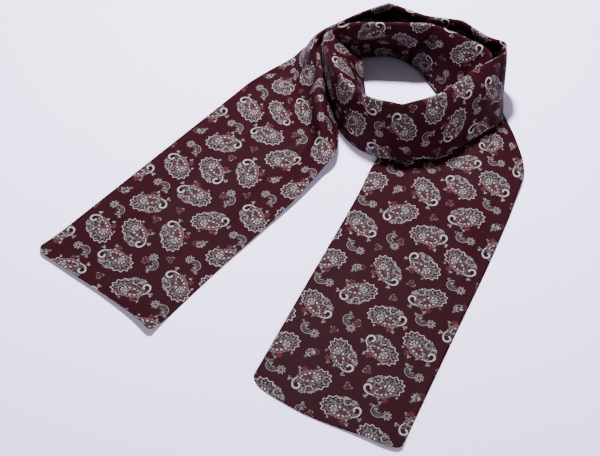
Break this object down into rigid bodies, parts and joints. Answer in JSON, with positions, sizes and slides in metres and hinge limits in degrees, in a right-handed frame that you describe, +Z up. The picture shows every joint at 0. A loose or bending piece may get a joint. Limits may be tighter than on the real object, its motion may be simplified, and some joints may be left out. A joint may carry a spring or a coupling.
{
  "type": "silk neck scarf",
  "caption": "Long folded strip of printed silk, wound round an empty neck as a standing ring, its flat tails lying open on the table",
  "frame": {"origin": "the middle of the bounding box's underside, on the table the scarf lies on", "axes": "+Z up from the table; -Y towards the tails' ends and the viewer; +X to the viewer's right"},
  "size_m": [0.5182, 0.5524, 0.0799],
  "materials": {
    "left_tail_silk": "printed silk twill",
    "back_outer_silk": "printed silk twill",
    "front_panel_silk": "printed silk twill",
    "back_inner_silk": "printed silk twill",
    "right_tail_silk": "printed silk twill"
  },
  "bodies": {
    "root": {"left_tail": "left_tail_silk", "back_outer": "back_outer_silk", "front_panel": "front_panel_silk", "back_inner": "back_inner_silk", "right_tail": "right_tail_silk"}
  },
  "joints": []
}
